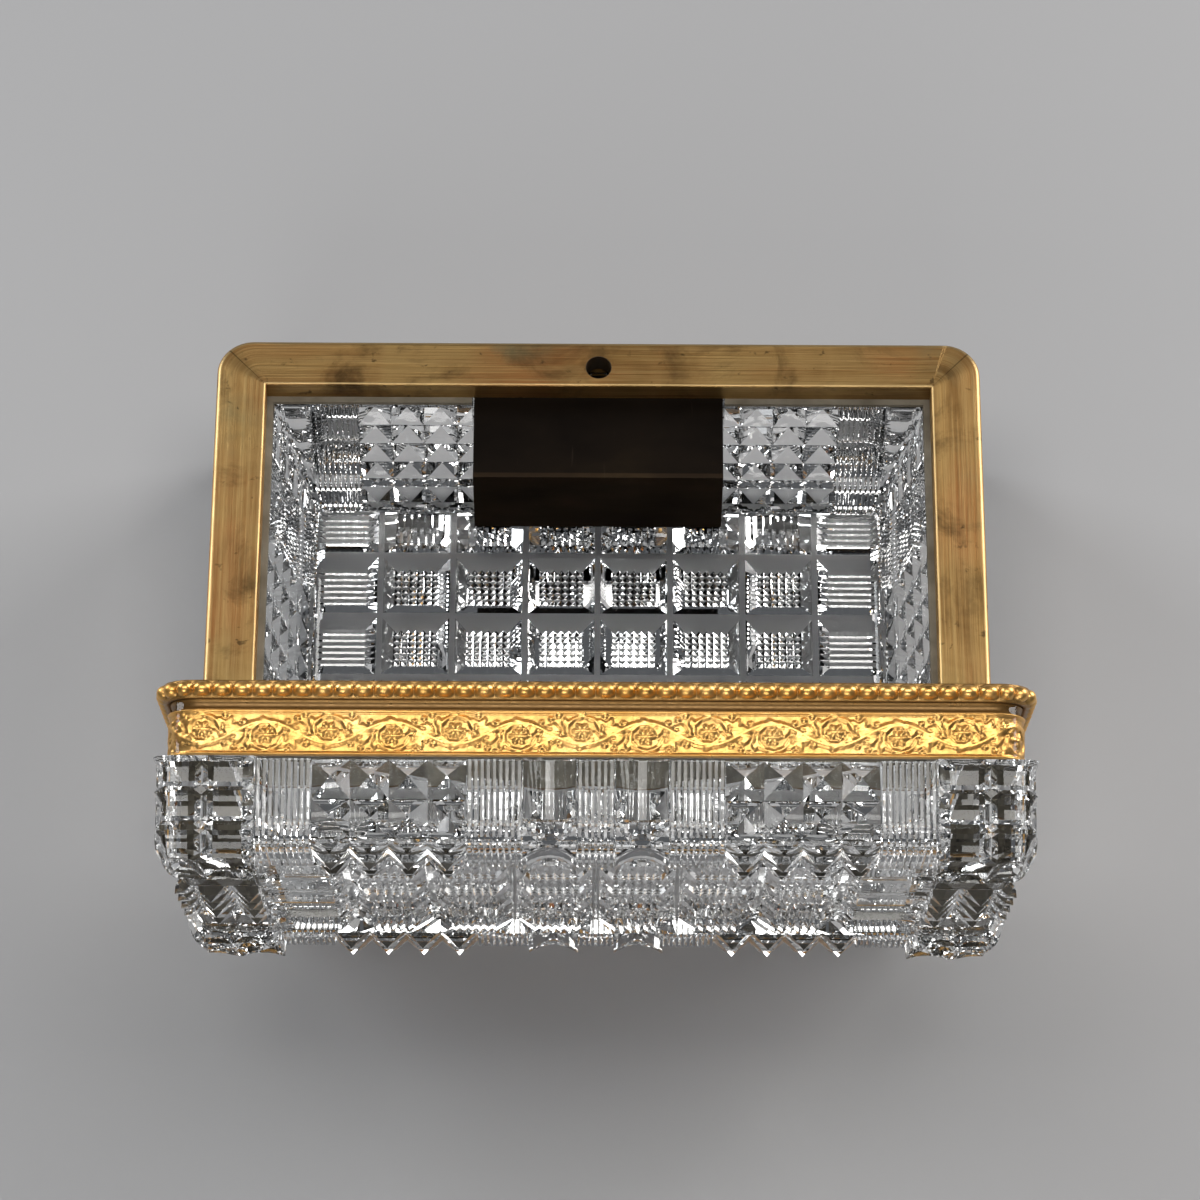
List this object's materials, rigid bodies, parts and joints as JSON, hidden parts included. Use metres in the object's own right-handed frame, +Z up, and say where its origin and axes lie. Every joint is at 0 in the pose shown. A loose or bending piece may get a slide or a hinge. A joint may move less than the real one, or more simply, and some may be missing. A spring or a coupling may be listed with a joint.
{
  "type": "inkwell",
  "caption": "Rectangular cut-crystal desk inkwell case with gilt mounts, a hinged crystal lid, a flat brass rim and a box lock inside.",
  "frame": {"origin": "centre of the body's underside, on the base plane", "axes": "+Z up, X along the width, lock side at -Y, hinge at +Y; rest pose is the lid standing open"},
  "size_m": [0.15, 0.1553, 0.1395],
  "materials": {
    "crystal": "polished lead crystal",
    "gilt": "gilt, satin",
    "aged_brass": "brushed, tarnished",
    "lock_dark": "dark brown patina",
    "steel": "dull",
    "plaster": "matt plaster"
  },
  "bodies": {
    "body": {"crystal_body": "crystal", "body_band": "gilt", "body_fillet": "gilt", "body_rim": "aged_brass", "body_bedding": "plaster", "lock_case": "lock_dark", "lock_cover": "lock_dark", "bolt_guide": "aged_brass", "bolt_spring": "steel", "key_post": "steel", "escutcheon": "gilt", "hinge_knuckles_body": "gilt", "hinge_pin": "steel"},
    "bolt": {"lock_bolt": "steel"},
    "lid": {"crystal_lid": "crystal", "lid_band": "gilt", "lid_fillet": "gilt", "lid_beading": "gilt", "lid_rim": "aged_brass", "lid_bedding": "plaster", "hinge_knuckles_lid": "gilt"}
  },
  "joints": [
    {"name": "lid_hinge", "type": "hinge", "parent": "body", "child": "lid", "pos_m": [0, 0.0511, 0.0425], "axis": [1, 0, 0], "range_deg": [0, 104]},
    {"name": "bolt_slide", "type": "slide", "parent": "body", "child": "bolt", "axis": [1, 0, 0], "range_m": [0, 0.005]}
  ]
}
